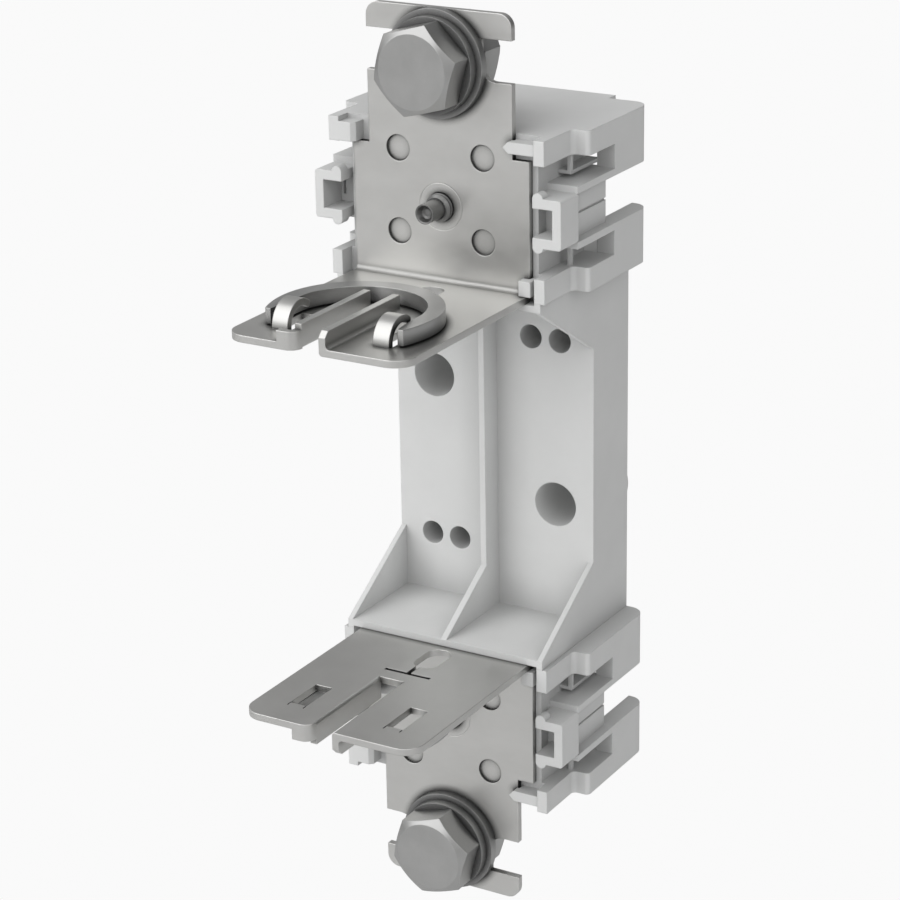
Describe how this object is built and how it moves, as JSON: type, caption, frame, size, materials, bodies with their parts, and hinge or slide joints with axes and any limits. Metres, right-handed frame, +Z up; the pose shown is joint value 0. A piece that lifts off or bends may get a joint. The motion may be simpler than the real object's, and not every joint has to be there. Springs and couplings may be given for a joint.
{
  "type": "fuse holder",
  "caption": "Open single-pole fuse base with a moulded body, slotted spring contacts for a blade fuse, bolt terminals and side coupling channels.",
  "frame": {"origin": "on the mounting plane, midway between the two panel holes", "axes": "+Z up along the line from terminal to terminal, +Y back into the mounting panel, +X to the right as seen from the front"},
  "size_m": [0.0582, 0.0893, 0.1974],
  "materials": {
    "moulding": "light grey moulded plastic, satin",
    "contact_metal": "tin-plated sheet, satin",
    "spring_steel": "plated spring steel",
    "zinc_steel": "zinc-plated steel"
  },
  "bodies": {
    "base": {"web_moulding": "moulding", "upper_end_block": "moulding", "lower_end_block": "moulding", "upper_contact": "contact_metal", "upper_ring_spring": "spring_steel", "upper_press_nut": "zinc_steel", "upper_fixing_screw": "zinc_steel", "upper_fixing_washer": "zinc_steel", "upper_fixing_spring_washer": "zinc_steel", "upper_terminal_nut": "zinc_steel", "lower_contact": "contact_metal", "lower_ring_spring": "spring_steel", "lower_press_nut": "zinc_steel", "lower_fixing_screw": "zinc_steel", "lower_fixing_washer": "zinc_steel", "lower_fixing_spring_washer": "zinc_steel", "lower_terminal_nut": "zinc_steel"},
    "upper_terminal_washers": {"upper_flat_washer": "zinc_steel", "upper_spring_washer": "zinc_steel"},
    "upper_terminal_bolt": {"upper_terminal_bolt": "zinc_steel"},
    "lower_terminal_washers": {"lower_flat_washer": "zinc_steel", "lower_spring_washer": "zinc_steel"},
    "lower_terminal_bolt": {"lower_terminal_bolt": "zinc_steel"}
  },
  "joints": [
    {"name": "upper_terminal_travel", "type": "slide", "parent": "base", "child": "upper_terminal_washers", "axis": [0, -1, 0], "range_m": [0, 0.015]},
    {"name": "upper_terminal_turn", "type": "hinge", "parent": "upper_terminal_washers", "child": "upper_terminal_bolt", "pos_m": [0, -0.0442, 0.0875], "axis": [0, -1, 0], "range_deg": [0, 3600]},
    {"name": "lower_terminal_travel", "type": "slide", "parent": "base", "child": "lower_terminal_washers", "axis": [0, -1, 0], "range_m": [0, 0.015]},
    {"name": "lower_terminal_turn", "type": "hinge", "parent": "lower_terminal_washers", "child": "lower_terminal_bolt", "pos_m": [0, -0.0442, -0.0875], "axis": [0, -1, 0], "range_deg": [0, 3600]}
  ],
  "couplings": [
    {"joint": "upper_terminal_turn", "follows": "upper_terminal_travel", "rad_per_m": 4188.8},
    {"joint": "lower_terminal_turn", "follows": "lower_terminal_travel", "rad_per_m": 4188.8}
  ]
}
